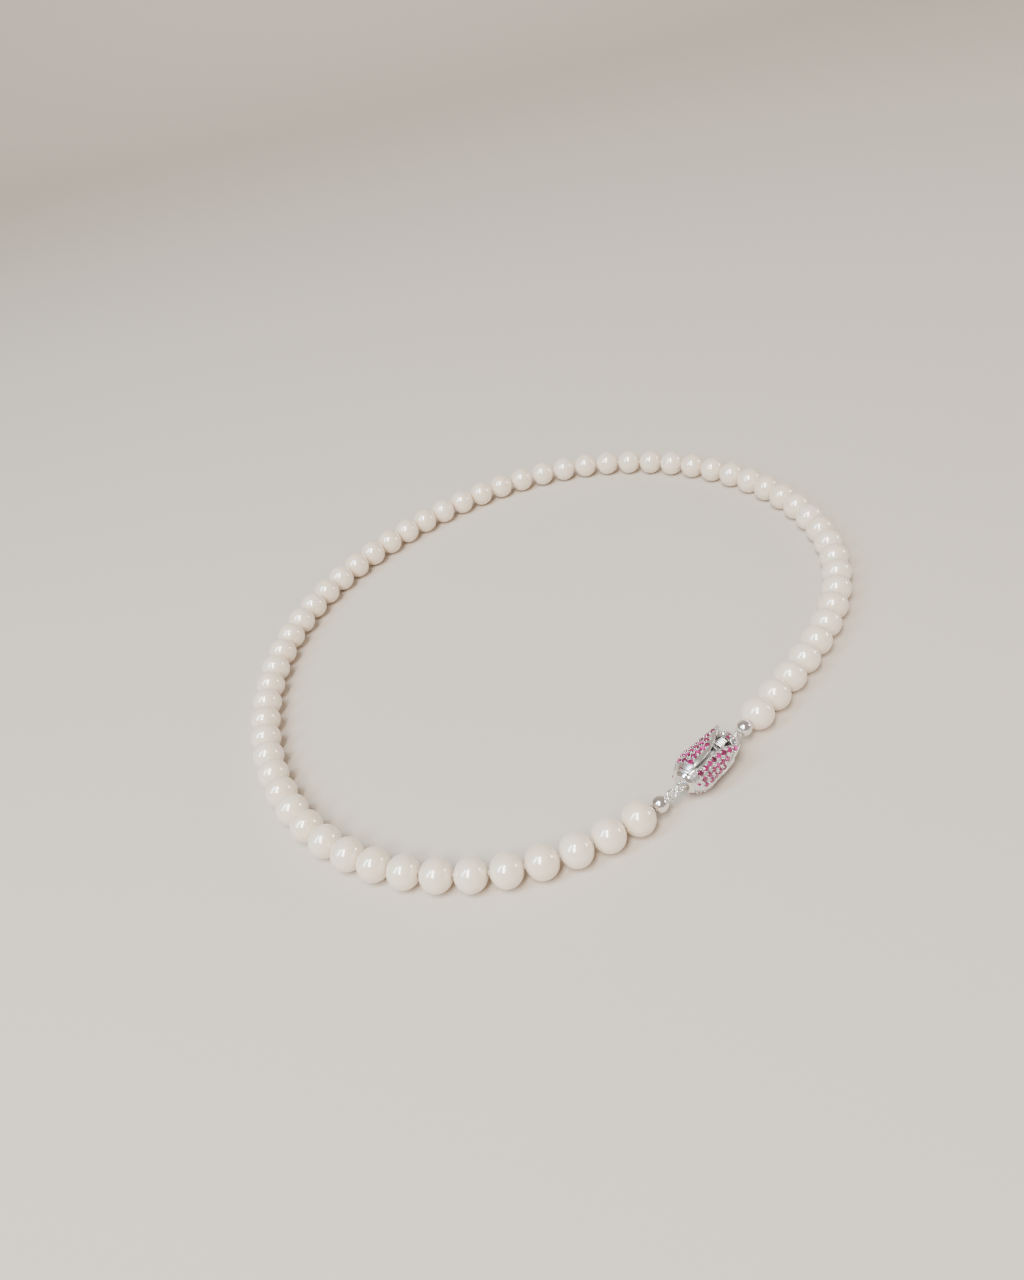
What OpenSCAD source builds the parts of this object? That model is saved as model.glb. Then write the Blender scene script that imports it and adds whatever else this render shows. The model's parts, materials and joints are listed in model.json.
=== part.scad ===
// A single-strand pearl necklace, knotted between the pearls and closed with a tulip clasp.
// It lies closed on a flat surface, z = 0. The strand runs anticlockwise from the clasp's
// insert, round the back of the neck, to the clasp's cup.

/* [Pearls] */
// Pearl diameter across the strand
pearl_d = 6.9; // [5.8:0.1:8.5]
// Pearl length along the strand, a little less than its diameter
pearl_l = 6.45; // [5.4:0.05:8]
// Drill hole through each pearl
drill_d = 0.8; // [0.7:0.05:1.2]
// Gap between two pearls, which the knot fills
knot_gap = 0.25; // [0.2:0.05:0.6]

/* [Thread] */
// Silk thread diameter
thread_d = 0.4; // [0.3:0.05:0.5]
// Clearance between a knot and the edges of the drill holes on each side of it
knot_clear = 0.02; // [0.01:0.01:0.04]

/* [Loop] */
// How oval the loop lies, as a share of its radius
oval = 0.107; // [0:0.01:0.14]
// Direction of the oval's long axis, in degrees
oval_dir = 66; // [0:1:180]
// How egg-shaped the loop lies, as a share of its radius
egg = 0.023; // [0:0.005:0.04]
// Direction of the egg's blunt end, in degrees
egg_dir = 22; // [0:1:120]
// How square the loop's shoulders are, as a share of its radius
shoulder = 0.017; // [0:0.005:0.03]
// Direction of a shoulder, in degrees
shoulder_dir = -5; // [-45:1:45]
// Where the strand starts, next to the clasp's insert, in degrees
start_dir = 316.3; // [300:0.5:330]

/* [Silver beads and rings] */
// Diameter of the silver bead that covers each end knot
bead_d = 3.4; // [3:0.1:4.2]
// Wall of the silver bead
bead_wall = 0.35; // [0.25:0.05:0.5]
// Wire thickness of the eyes, links and rings
wire_d = 0.44; // [0.36:0.02:0.52]
// Clearance between two wires that hang in each other
wire_clear = 0.12; // [0.08:0.02:0.16]
// Middle diameter of a bead's eye
eye_d = 1.2; // [1.1:0.05:1.4]
// Middle diameter of the connecting link on the cup side
link_d = 1.8; // [1.6:0.1:2.2]
// Middle diameter of the jump rings
ring_d = 1.9; // [1.7:0.1:2.4]
// Turn of the jump rings about the strand, in degrees
ring_turn = 50; // [0:5:90]
// Crimp tube diameter
crimp_d = 1.2; // [1:0.1:1.6]
// Crimp tube length
crimp_l = 1.2; // [0.8:0.1:1.6]

/* [Tulip clasp] */
// Largest radius of the tulip cup
tulip_r = 4.15; // [3.8:0.05:5]
// Length of the tulip cup, from its base to the petal tips
tulip_len = 14; // [13:0.1:17]
// Radius of the cup at its base
base_r = 1.9; // [1.6:0.1:2.4]
// Distance from the base to the widest part of the cup
belly_x = 4.8; // [4.2:0.1:5.6]
// How much the petals draw in between the belly and their tips
waist_drop = 0.25; // [0.15:0.05:0.4]
// Thickness of a petal
petal_t = 0.9; // [0.8:0.05:1]
// Slit between two petals
petal_slit = 0.3; // [0.2:0.05:0.5]
// Half of a petal's greatest width
leaf_half = 2.75; // [2.6:0.05:3]
// Distance from the base to a petal's greatest width
leaf_mid = 4.5; // [3.8:0.1:5.4]
// Lean of each petal round the cup, in degrees
leaf_lean = 5; // [0:1:8]
// Length of the calyx cap, where the petals stand
cap_len = 0.7; // [0.5:0.1:1]
// Length of the calyx, base to front
calyx_len = 3.2; // [2.8:0.1:3.6]
// Direction of the front petal above the horizontal, in degrees
front_petal_dir = 16; // [0:1:40]
// Direction that the thumb grip faces, above the horizontal, in degrees
grip_dir = 69; // [60:1:80]
// Middle diameter of the clasp's two fixed eyes
clasp_eye_d = 1.4; // [1.3:0.05:1.6]
// Clearance between the clasp and the surface that the strand lies on
floor_clear = 0.03; // [0.02:0.01:0.2]

/* [Rubies] */
// Ruby diameter
ruby_d = 1.2; // [0.9:0.05:1.2]
// Depth of a ruby's seat
seat_depth = 0.5; // [0.4:0.05:0.6]
// Height that a ruby stands proud of the petal
ruby_proud = 0.12; // [0.05:0.01:0.2]
// Clearance round a ruby in its seat
seat_clear = 0.02; // [0.01:0.01:0.05]
// Spacing of the rubies along a row
ruby_step = 1.38; // [1.36:0.02:1.6]
// Spacing of the rows across a petal
row_step = 1.45; // [1.4:0.05:1.6]
// Narrowest metal border beside a ruby
border = 0.2; // [0.15:0.05:0.4]
// Polished rim along the side of a petal that its first row of rubies follows
thin_rim = 0.3; // [0.2:0.05:0.4]
// Least rim along the petal's other side
far_rim = 0.3; // [0.2:0.05:0.6]

/* [Tongue] */
// Width of the folded tongue
tongue_w = 2.8; // [2.4:0.1:3]
// Sheet thickness of the tongue and its spring leaf
sheet_t = 0.4; // [0.3:0.05:0.45]
// Inside radius of the tongue's fold
fold_r = 0.42; // [0.38:0.02:0.5]
// Distance from the cup's base to the fold's centre
fold_x = 4.5; // [4.4:0.1:5]
// Clearance beside the tongue in its channel
side_clear = 0.35; // [0.3:0.05:0.4]
// Clearance under and over the tongue in its channel
lift_clear = 0.27; // [0.25:0.01:0.35]
// Wall of the channel
channel_wall = 0.35; // [0.3:0.05:0.4]
// Distance from the cup's base to the channel's mouth
mouth_x = 9.7; // [9:0.1:10]
// Thickness of the plate round the mouth
mouth_t = 0.5; // [0.4:0.05:0.6]
// Rise of the spring leaf above the fold, where its post stands
leaf_rise = 0.35; // [0.25:0.05:0.4]
// Distance from the cup's base to the post that carries the thumb grip
post_x = 10.05; // [10:0.05:10.2]
// Width of the thumb grip
grip_w = 1.4; // [1.2:0.1:1.6]
// Height of the thumb grip's top above the clasp's axis
grip_top = 3.3; // [3:0.1:3.5]
// Number of ribs on the thumb grip
grip_ribs = 5; // [4:1:6]
// Spacing of the ribs
rib_step = 0.42; // [0.4:0.02:0.44]
// Clearance round the thumb grip, where the petals beside it are relieved
grip_clear = 0.12; // [0.08:0.02:0.2]

/* [Insert head] */
// Radius of the insert's head
head_r = 2.75; // [2.5:0.05:2.8]
// Distance from the cup's base to the back of the head
head_x = 12.8; // [12.7:0.1:13]
// Length of the head
head_len = 2.5; // [2.2:0.1:3]
// Straight length of the head's rim, before its dome
head_rim = 0.9; // [0.7:0.1:1.2]
// Radius of the dome's rounding
head_round = 1.9; // [1.6:0.1:2.1]
// Radius of the head's flat end
head_end_r = 1.2; // [1:0.1:1.4]
// Number of rubies round the side of the head that shows
head_rubies = 5; // [3:1:7]

/* [Hidden] */
$fn = 48;
link_count = 16;
link_pearls = 4;
pearl_count = link_count*link_pearls;
pitch = pearl_l + knot_gap;
pearl_round = pearl_l/2;
pearl_offset = (pearl_d - pearl_l)/2;
knot_r = norm([knot_gap/2, drill_d/2]) - knot_clear;
thread_stop = knot_r + knot_clear;
pearl_z = pearl_d/2;

// Half the distance between the wires' middles where two rings hang in each other
hang = (wire_d + wire_clear)/2;
// How far each fixed eye is sunk into what it is soldered to
eye_sink = 0.15;
clasp_eye_sink = 0.2;
eye_x = knot_gap/2 + bead_d - eye_sink + eye_d/2;
bead_run = eye_x + eye_d/2 - hang;
link_run = link_d - 2*hang;
ring_run = ring_d - 2*hang;
cup_start = clasp_eye_d - hang - clasp_eye_sink;
insert_end = head_x + head_len;
clasp_run = 2*cup_start + insert_end;
end_runs = [bead_run, link_run, ring_run, clasp_run, ring_run, bead_run];
function sum_to(list, n) = n <= 0 ? 0 : list[n - 1] + sum_to(list, n - 1);
strand_run = pearl_count*pitch;
loop_run = strand_run + sum_to(end_runs, len(end_runs));

// The loop's outline: its radius in each direction, scaled so that strand and clasp fill it
function outline(a) = (1 + oval*cos(2*(a - oval_dir)) + egg*cos(3*(a - egg_dir))
    + shoulder*cos(4*(a - shoulder_dir)))*[cos(a), sin(a)];
outline_step = 0.5;
outline_steps = 360/outline_step;
function outline_at(i) = outline(start_dir + i*outline_step);
unit_runs = [for (i = 0, s = 0; i <= outline_steps; s = s + norm(outline_at(i + 1) - outline_at(i)), i = i + 1) s];
loop_scale = loop_run/unit_runs[outline_steps];
run_table = [for (i = [0:outline_steps]) [unit_runs[i]*loop_scale, start_dir + i*outline_step]];
function loose_point(s) = loop_scale*outline(lookup(s, run_table));
loose_pearls = [for (i = [0:pearl_count - 1]) loose_point((i + 0.5)*pitch)];
function middle(axis) = let(v = [for (p = loose_pearls) p[axis]]) (min(v) + max(v))/2;
loop_middle = [middle(0), middle(1)];
function loop_point(s, z) = let(p = loose_point(s) - loop_middle) [p.x, p.y, z];

// Knot places, and the places where the end pieces hang in each other
knots = [for (i = [0:pearl_count]) loop_point(i*pitch, pearl_z)];
clasp_z = tulip_r + ruby_proud + floor_clear;
// The clasp's eyes hang this far under its axis
eye_drop = 0.4;
// Each hanging place's share of the rise from the strand to the clasp's eyes
rise_shares = [0, 0.4, 0.7, 1, 1, 0.4, 0];
rise = clasp_z - eye_drop - pearl_z;
hangs = [for (i = [0:len(end_runs)])
    loop_point(min(strand_run + sum_to(end_runs, i), loop_run), pearl_z + rise*rise_shares[i])];

// The tulip cup's profile: a belly arc, then a long arc that draws in and flares out
belly_arc = (pow(belly_x, 2) + pow(tulip_r - base_r, 2))/(2*(tulip_r - base_r));
half_waist = (tulip_len - belly_x)/2;
waist_arc = (pow(half_waist, 2) + pow(waist_drop, 2))/(2*waist_drop);
waist_x = belly_x + half_waist;
function cup_r(x) = x < belly_x
    ? tulip_r - belly_arc + sqrt(pow(belly_arc, 2) - pow(x - belly_x, 2))
    : tulip_r - waist_drop + waist_arc - sqrt(pow(waist_arc, 2) - pow(x - waist_x, 2));
function cup_slope(x) = atan((cup_r(x + 0.05) - cup_r(x - 0.05))/0.1);
leaf_arc = (pow(tulip_len - leaf_mid, 2) + pow(leaf_half, 2))/(2*leaf_half);
function leaf_half_at(x) = sqrt(pow(leaf_arc, 2) - pow(x - leaf_mid, 2)) - leaf_arc + leaf_half;
petal_dirs = [for (i = [0:3]) front_petal_dir + 90*i];

// Half of what one petal may fill between the slits beside it
function quarter_half_at(x) = cup_r(x)*sin(45 - asin(petal_slit/2/cup_r(x)));

// Ruby places in a petal's own plane: rows that follow its thin-rimmed side, where they fit
ruby_first_x = cap_len + ruby_d/2;
ruby_last_x = tulip_len - ruby_d;
function ruby_fits(x, z) = z - ruby_d/2 - far_rim > -leaf_half_at(x)
    && abs(z) + ruby_d/2 + border < quarter_half_at(x);
ruby_places = [for (row = [0:2], x = [ruby_first_x:ruby_step:ruby_last_x])
    let(z = leaf_half_at(x) - thin_rim - ruby_d/2 - row*row_step)
    if (ruby_fits(x, z)) [x, z]];
function leaned(p) = let(x = p.x - leaf_mid)
    [leaf_mid + x*cos(leaf_lean) - p.y*sin(leaf_lean), x*sin(leaf_lean) + p.y*cos(leaf_lean)];

channel_w = tongue_w + 2*side_clear;
channel_h = 2*(fold_r + sheet_t + lift_clear);
leaf_root_r = fold_r - 0.05;
leaf_w = tongue_w - 0.2;
leaf_slope = atan(leaf_rise/(post_x - fold_x));
grip_t = 0.7;
grip_end = 0.3;
rib_share = 0.9;
grip_len = (grip_ribs - 1)*rib_step + 2*grip_end;
head_ruby_x = head_x + ruby_d/2 + border;
head_ruby_step = 2*asin((ruby_d + border)/(2*head_r));

// Puts children at point a, with their +X towards point b
module towards(a, b) {
    d = b - a;
    translate(a) rotate([0, -asin(d.z/norm(d)), atan2(d.y, d.x)]) children();
}

// A round wire ring, its axis along Y, then turned about X
module wire_ring(middle_d, turn) {
    rotate([turn, 0, 0]) rotate([90, 0, 0])
        rotate_extrude() translate([middle_d/2, 0]) circle(d = wire_d, $fn = 24);
}

// One drilled pearl, its drill hole along X and centred on the origin
module pearl() {
    rotate([0, 90, 0]) difference() {
        rotate_extrude() intersection() {
            translate([pearl_offset, 0]) circle(r = pearl_round);
            translate([0, -pearl_l]) square([pearl_d, 2*pearl_l]);
        }
        cylinder(h = 2*pearl_l, d = drill_d, center = true, $fn = 24);
    }
}

module link_of_pearls(k) {
    color("ivory") for (i = [k*link_pearls:(k + 1)*link_pearls - 1])
        towards(knots[i], knots[i + 1]) translate([pitch/2, 0, 0]) pearl();
}

// The thread of one link, with a knot at its start and between its pearls
module link_of_thread(k) {
    first = k*link_pearls;
    last = first + link_pearls;
    color("whitesmoke") union() {
        for (i = [first:last - 1]) {
            stop = i == last - 1 && k < link_count - 1 ? thread_stop : 0;
            towards(knots[i], knots[i + 1]) rotate([0, 90, 0]) {
                sphere(r = knot_r, $fn = 24);
                cylinder(h = norm(knots[i + 1] - knots[i]) - stop, d = thread_d, $fn = 16);
            }
        }
        if (k == link_count - 1) towards(knots[last], knots[last - 1]) rotate([0, 90, 0])
            sphere(r = knot_r, $fn = 24);
    }
}

// End pieces: each is drawn with its strand knot at the origin and the clasp towards +X
module bead() {
    color("silver") translate([knot_gap/2 + bead_d/2, 0, 0]) difference() {
        sphere(d = bead_d);
        sphere(d = bead_d - 2*bead_wall);
        translate([-bead_d, 0, 0]) rotate([0, 90, 0]) cylinder(h = bead_d, d = drill_d, $fn = 24);
    }
}

module bead_eye() {
    color("silver") difference() {
        translate([eye_x, 0, 0]) wire_ring(eye_d, ring_turn);
        translate([knot_gap/2 + bead_d/2, 0, 0]) sphere(d = bead_d);
    }
}

module crimp() {
    color("silver") translate([knot_gap/2 + bead_d/2 - crimp_l/2, 0, 0]) rotate([0, 90, 0]) difference() {
        cylinder(h = crimp_l, d = crimp_d, $fn = 24);
        translate([0, 0, -1]) cylinder(h = crimp_l + 2, d = thread_d + 0.02, $fn = 16);
    }
}

module thread_end() {
    color("whitesmoke") translate([thread_stop, 0, 0]) rotate([0, 90, 0])
        cylinder(h = knot_gap/2 + bead_d/2 + crimp_l/2 - thread_stop + 0.1, d = thread_d, $fn = 16);
}

// Rings: each starts where it hangs in the piece before it
module hung_ring(middle_d, turn) {
    color("silver") translate([middle_d/2 - hang, 0, 0]) wire_ring(middle_d, turn);
}

// The cup's frame: origin at the middle of its base, +X along it, +Z up
module at_cup() {
    a = hangs[3];
    d = hangs[4] - a;
    translate([a.x, a.y, clasp_z]) rotate([0, 0, atan2(d.y, d.x)]) translate([cup_start, 0, 0]) children();
}

// The insert's frame: the same, measured back from the insert's own ring
module at_insert() {
    a = hangs[3];
    d = hangs[4] - a;
    at_cup() translate([norm(d) - clasp_run, 0, 0]) children();
}

// Turns +Z to the direction that the thumb grip faces
module grip_up() {
    rotate([90 - grip_dir, 0, 0]) children();
}

// The space inside the tulip's outline, moved in by inset, between two distances from the base
module tulip_body(inset, x0, x1) {
    rotate([0, 90, 0]) rotate_extrude() intersection() {
        translate([0, x0]) square([2*tulip_r, x1 - x0]);
        union() {
            intersection() {
                translate([tulip_r - belly_arc, belly_x]) circle(r = belly_arc - inset, $fn = 180);
                translate([0, -1]) square([2*tulip_r, belly_x + 1]);
            }
            difference() {
                translate([0, belly_x]) square([tulip_r + 1, tulip_len - belly_x + 1]);
                translate([tulip_r - waist_drop + waist_arc, waist_x])
                    circle(r = waist_arc + inset, $fn = 360);
            }
        }
    }
}

// One petal's outline, swept outwards along -Y
module leaf_sweep() {
    translate([leaf_mid, 0, 0]) rotate([0, -leaf_lean, 0]) translate([-leaf_mid, 0, 0])
        rotate([90, 0, 0]) linear_extrude(2*tulip_r) intersection() {
            translate([leaf_mid, leaf_half - leaf_arc]) circle(r = leaf_arc, $fn = 180);
            translate([leaf_mid, leaf_arc - leaf_half]) circle(r = leaf_arc, $fn = 180);
        }
}

// The quarter of the cup that one petal may fill, opening towards -Y
module quarter() {
    rotate([45, 0, 0]) translate([-1, -2*tulip_r - petal_slit/2, petal_slit/2])
        cube([tulip_len + 2, 2*tulip_r, 2*tulip_r]);
}

// Puts children on the petal's outer face at each ruby, with +Z out of the face
module at_rubies() {
    for (place = ruby_places) {
        p = leaned(place);
        r = cup_r(p.x);
        translate([p.x, 0, 0]) rotate([90 - asin(p.y/r), 0, 0])
            translate([0, 0, r]) rotate([0, -cup_slope(p.x), 0]) children();
    }
}

module ruby() {
    color("mediumvioletred") translate([0, 0, -seat_depth])
        cylinder(h = seat_depth + ruby_proud, d = ruby_d, $fn = 24);
}

module seat() {
    translate([0, 0, -seat_depth]) cylinder(h = seat_depth + 1, d = ruby_d + 2*seat_clear, $fn = 24);
}

// The space that the thumb grip moves in, cut from the inner edges of the two petals beside it
module grip_relief() {
    grip_up() translate([post_x - grip_clear, -grip_w/2 - grip_clear, grip_top - grip_t - grip_clear])
        cube([tulip_len + 1 - post_x, grip_w + 2*grip_clear, grip_t + 2*grip_clear]);
}

module petal(i) {
    color("silver") at_cup() difference() {
        rotate([-petal_dirs[i], 0, 0]) difference() {
            intersection() {
                difference() {
                    tulip_body(0, cap_len, tulip_len);
                    tulip_body(petal_t, 0, tulip_len + 1);
                }
                leaf_sweep();
                quarter();
            }
            at_rubies() seat();
        }
        if (i < 2) grip_relief();
    }
}

module petal_rubies(i) {
    at_cup() rotate([-petal_dirs[i], 0, 0]) at_rubies() ruby();
}

module calyx() {
    color("silver") at_cup() union() {
        tulip_body(0, 0, cap_len);
        tulip_body(petal_t, cap_len, calyx_len);
    }
}

module cup_eye() {
    color("silver") at_cup() difference() {
        translate([clasp_eye_sink - clasp_eye_d/2, 0, -eye_drop]) wire_ring(clasp_eye_d, ring_turn + 90);
        translate([0, -tulip_r, -tulip_r]) cube(2*tulip_r);
    }
}

module tongue_channel() {
    h = channel_h + 2*channel_wall;
    w = channel_w + 2*channel_wall;
    plate_r = cup_r(mouth_x) - petal_t - 0.02;
    color("gainsboro") at_cup() grip_up() difference() {
        union() {
            translate([calyx_len, -w/2, -h/2]) cube([mouth_x - calyx_len, w, h]);
            translate([mouth_x - mouth_t, 0, 0]) rotate([0, 90, 0]) cylinder(h = mouth_t, r = plate_r);
        }
        translate([calyx_len - 1, -channel_w/2, -channel_h/2])
            cube([mouth_x - calyx_len + 2, channel_w, channel_h]);
    }
}

// The lower blade of the folded tongue, with the fold at its tip
module tongue() {
    color("gainsboro") at_insert() grip_up() union() {
        translate([fold_x, -tongue_w/2, -fold_r - sheet_t]) cube([head_x - fold_x, tongue_w, sheet_t]);
        translate([fold_x, tongue_w/2, 0]) rotate([90, 0, 0]) difference() {
            cylinder(h = tongue_w, r = fold_r + sheet_t);
            translate([0, 0, -1]) cylinder(h = tongue_w + 2, r = fold_r);
            translate([0, -2, -1]) cube([4, 4, tongue_w + 2]);
        }
    }
}

// The upper leaf of the tongue, which springs about the fold, with the post that carries the grip
module spring_leaf() {
    color("gainsboro") at_insert() grip_up() union() {
        translate([fold_x, leaf_w/2, 0]) rotate([90, 0, 0]) linear_extrude(leaf_w) union() {
            circle(r = leaf_root_r);
            rotate(leaf_slope) translate([0, -sheet_t/2]) square([post_x + 2*sheet_t - fold_x, sheet_t]);
        }
        translate([post_x, -grip_w/2, leaf_rise]) cube([sheet_t, grip_w, grip_top - grip_t - leaf_rise]);
    }
}

module thumb_grip() {
    color("silver") at_insert() grip_up() union() {
        translate([post_x, -grip_w/2, grip_top - grip_t]) cube([grip_len, grip_w, grip_t - rib_step/2]);
        for (i = [0:grip_ribs - 1])
            translate([post_x + grip_end + i*rib_step, grip_w/2, grip_top - rib_step/2]) rotate([90, 0, 0])
                cylinder(h = grip_w, d = rib_share*rib_step, $fn = 24);
    }
}

// The insert's head: a dome that closes the tulip's mouth
module head_body() {
    rotate([0, 90, 0]) rotate_extrude() intersection() {
        translate([0, head_x]) square([head_r, head_len]);
        union() {
            translate([head_r - head_round, head_x + head_rim]) circle(r = head_round);
            translate([0, head_x]) square([head_end_r, head_len]);
            translate([0, head_x]) square([head_r, head_rim]);
        }
    }
}

module at_head_rubies() {
    for (i = [0:head_rubies - 1])
        grip_up() rotate([(i - (head_rubies - 1)/2)*head_ruby_step, 0, 0])
            translate([head_ruby_x, 0, head_r]) children();
}

module insert_head() {
    color("silver") at_insert() difference() {
        head_body();
        at_head_rubies() seat();
    }
}

module insert_head_rubies() {
    at_insert() at_head_rubies() ruby();
}

module insert_eye() {
    color("silver") at_insert() difference() {
        translate([insert_end - clasp_eye_sink + clasp_eye_d/2, 0, -eye_drop]) wire_ring(clasp_eye_d, -ring_turn);
        translate([insert_end - 2*tulip_r, -tulip_r, -tulip_r]) cube(2*tulip_r);
    }
}

for (k = [0:link_count - 1]) {
    link_of_pearls(k);
    link_of_thread(k);
}
towards(hangs[0], hangs[1]) bead();  // cup_side_bead
towards(hangs[0], hangs[1]) bead_eye();  // cup_side_bead_eye
towards(hangs[0], hangs[1]) crimp();  // cup_side_crimp
towards(hangs[0], hangs[1]) thread_end();  // cup_side_thread_end
towards(hangs[6], hangs[5]) bead();  // insert_side_bead
towards(hangs[6], hangs[5]) bead_eye();  // insert_side_bead_eye
towards(hangs[6], hangs[5]) crimp();  // insert_side_crimp
towards(hangs[6], hangs[5]) thread_end();  // insert_side_thread_end
towards(hangs[1], hangs[2]) hung_ring(link_d, ring_turn + 90);  // cup_side_link
towards(hangs[2], hangs[3]) hung_ring(ring_d, ring_turn);  // cup_side_ring
towards(hangs[5], hangs[4]) hung_ring(ring_d, ring_turn + 90);  // insert_side_ring
calyx();
cup_eye();
tongue_channel();
petal(0);  // front_petal
petal(1);  // top_petal
petal(2);  // inner_petal
petal(3);  // under_petal
petal_rubies(0);  // front_petal_rubies
petal_rubies(1);  // top_petal_rubies
petal_rubies(2);  // inner_petal_rubies
petal_rubies(3);  // under_petal_rubies
tongue();
spring_leaf();
thumb_grip();
insert_head();
insert_head_rubies();
insert_eye();
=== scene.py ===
"""A knotted pearl necklace with a pave-set tulip clasp, lying closed on a pale surface.

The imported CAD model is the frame. Each visible piece is modelled here round its CAD node:
pearls, silk knots, silver beads and rings, the tulip's petals, rubies, tongue and grip.
"""

import json
import math
import random

import bmesh
import bpy
from mathutils import Matrix, Vector


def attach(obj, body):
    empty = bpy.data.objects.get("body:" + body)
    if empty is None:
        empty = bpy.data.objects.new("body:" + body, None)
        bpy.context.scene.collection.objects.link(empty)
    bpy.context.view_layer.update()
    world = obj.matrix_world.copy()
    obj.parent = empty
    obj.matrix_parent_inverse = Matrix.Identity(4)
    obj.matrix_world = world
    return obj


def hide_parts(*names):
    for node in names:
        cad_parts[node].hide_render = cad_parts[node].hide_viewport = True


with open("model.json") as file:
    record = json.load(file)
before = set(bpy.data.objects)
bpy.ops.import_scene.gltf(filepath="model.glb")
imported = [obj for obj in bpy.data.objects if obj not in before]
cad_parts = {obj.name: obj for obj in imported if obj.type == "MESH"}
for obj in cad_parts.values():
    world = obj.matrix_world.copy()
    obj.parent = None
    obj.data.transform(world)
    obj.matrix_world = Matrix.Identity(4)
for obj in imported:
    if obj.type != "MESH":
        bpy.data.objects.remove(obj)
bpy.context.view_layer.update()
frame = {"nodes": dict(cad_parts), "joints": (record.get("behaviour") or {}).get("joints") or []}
MM = 0.001

# ---------------------------------------------------------------- sizes, in millimetres

LINKS = 16
PEARLS_A_LINK = 4
PEARL_R = 3.45
PEARL_HALF = 3.225
DRILL_R = 0.4
DRILL_ROUNDING = 0.12
PEARL_SIDES = 48
UNEVEN_FROM = 2
KNOT_R = 0.54
KNOT_TUBE_R = 0.11
KNOT_WEAVE = 0.1
KNOT_RISE = 0.06
KNOT_LOBES = 3
KNOT_STEPS = 60
KNOT_SIDES = 6
END_KNOT = 0.8
THREAD_R = 0.19
THREAD_SIDES = 10
WELD = 0.002
CAD_WELD_M = 1e-7

BEAD_R = 1.7
BEAD_WALL = 0.35
BEAD_LIP_R = 0.62
BEAD_START = 0.125
BEAD_SIDES = 40
COLLAR = [(0, -0.1), (0.42, -0.1), (0.5, 0.02), (0.42, 0.12), (0.26, 0.2), (0, 0.2)]
COLLAR_SINK = 0.02
COLLAR_SIDES = 24
WIRE_R = 0.22
WIRE_SIDES = 14
RING_SIDES = 40
EYE_R = 0.6
EYE_SINK = 0.15
LINK_R = 0.9
RING_R = 0.95
CLASP_EYE_R = 0.7
EYE_DROP = 0.4
EYE_OUT = 0.5
INSERT_END = 15.3
HANG_IN = 0.28
RING_GAP = 4
RING_CUT_TURN = 0.9
RING_TURN = 50
CROSS_TURN = 140
CUP_EYE_TURN = 230
INSERT_EYE_TURN = 40

TULIP_R = 4.15
TULIP_LEN = 14.0
BASE_R = 1.9
BELLY_X = 4.8
WAIST_DROP = 0.25
PETAL_T = 0.9
PETAL_SLIT = 0.3
PETAL_ROWS = 96
PETAL_COLUMNS = 44
PETAL_END_GAP = 0.02
ROW_CROWDING = 1.15
SIDE_CROWDING = 0.85
PETAL_EDGE = 0.13
SHARP_EDGE = math.radians(55)
LEAST_HALF = 0.03
LEAF_HALF = 2.75
LEAF_MID = 4.5
LEAF_LEAN = math.radians(5)
CAP_LEN = 0.7
CUP_START = 0.92
FRONT_PETAL_DIR = 16
PETAL_TURNS = {"front_petal": 0, "top_petal": 90, "inner_petal": 180, "under_petal": 270}
THIN_RIM = 0.3
FIELD_WIDTHS = [
    (0.7, 4.5), (7.3, 4.45), (8.6, 3.4), (10.3, 3.0), (11.2, 1.75), (11.9, 1.4), (12.4, 0.0)
]
FIELD_START = 0.35
FIELD_END = 12.3
FIELD_SLOPE = 0.14
FIELD_DROP = 0.1
RIM_RISE = 0.05
RIM_CROWN = 0.05
RUBY_R = 0.6
RUBY_HALF = 0.31
TABLE_SHARE = 0.56
TABLE_RISE = 0.06
GIRDLE_DROP = 0.1
POINT_DROP = 0.42
TABLE_FACING = 0.85
GRAIN_R = 0.15
GRAIN_SINK = 0.1
GRAIN_OUT = 0.06
GRAIN_SHARED = 0.34

# ---------------------------------------------------------------- where things are

child_pos = {joint["child"]: Vector(joint["pos_m"]) for joint in frame["joints"]}


def islands(node):
    """The separate solids of a CAD node, each a list of (centre, area, normal) of its faces."""
    shape = bmesh.new()
    shape.from_mesh(frame["nodes"][node].data)
    bmesh.ops.remove_doubles(shape, verts=shape.verts, dist=CAD_WELD_M)
    shape.verts.ensure_lookup_table()
    found = []
    seen = set()
    for start in shape.verts:
        if start.index in seen:
            continue
        stack = [start]
        seen.add(start.index)
        faces = set()
        while stack:
            vert = stack.pop()
            for face in vert.link_faces:
                faces.add(face)
            for edge in vert.link_edges:
                other = edge.other_vert(vert)
                if other.index not in seen:
                    seen.add(other.index)
                    stack.append(other)
        ordered = sorted(faces, key=lambda face: face.index)
        found.append(
            [(face.calc_center_median(), face.calc_area(), face.normal.copy()) for face in ordered]
        )
    shape.free()
    return found


def area_centre(faces):
    total = sum(area for _, area, _ in faces)
    return sum((centre * area for centre, area, _ in faces), Vector()) / total


def strand_order():
    """Pearl centres along the strand, from the clasp's insert round to its cup."""
    last = child_pos["insert_side_bead"]
    ordered = []
    for number in range(1, LINKS + 1):
        centres = [area_centre(faces) for faces in islands(f"pearls_{number:02d}")]
        while centres:
            nearest = min(centres, key=lambda centre: (centre - last).length)
            centres.remove(nearest)
            ordered.append(nearest)
            last = nearest
    return ordered


pearl_centres = strand_order()
start_knot = child_pos["insert_side_bead"]
end_knot = child_pos["cup_side_bead"]

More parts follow.
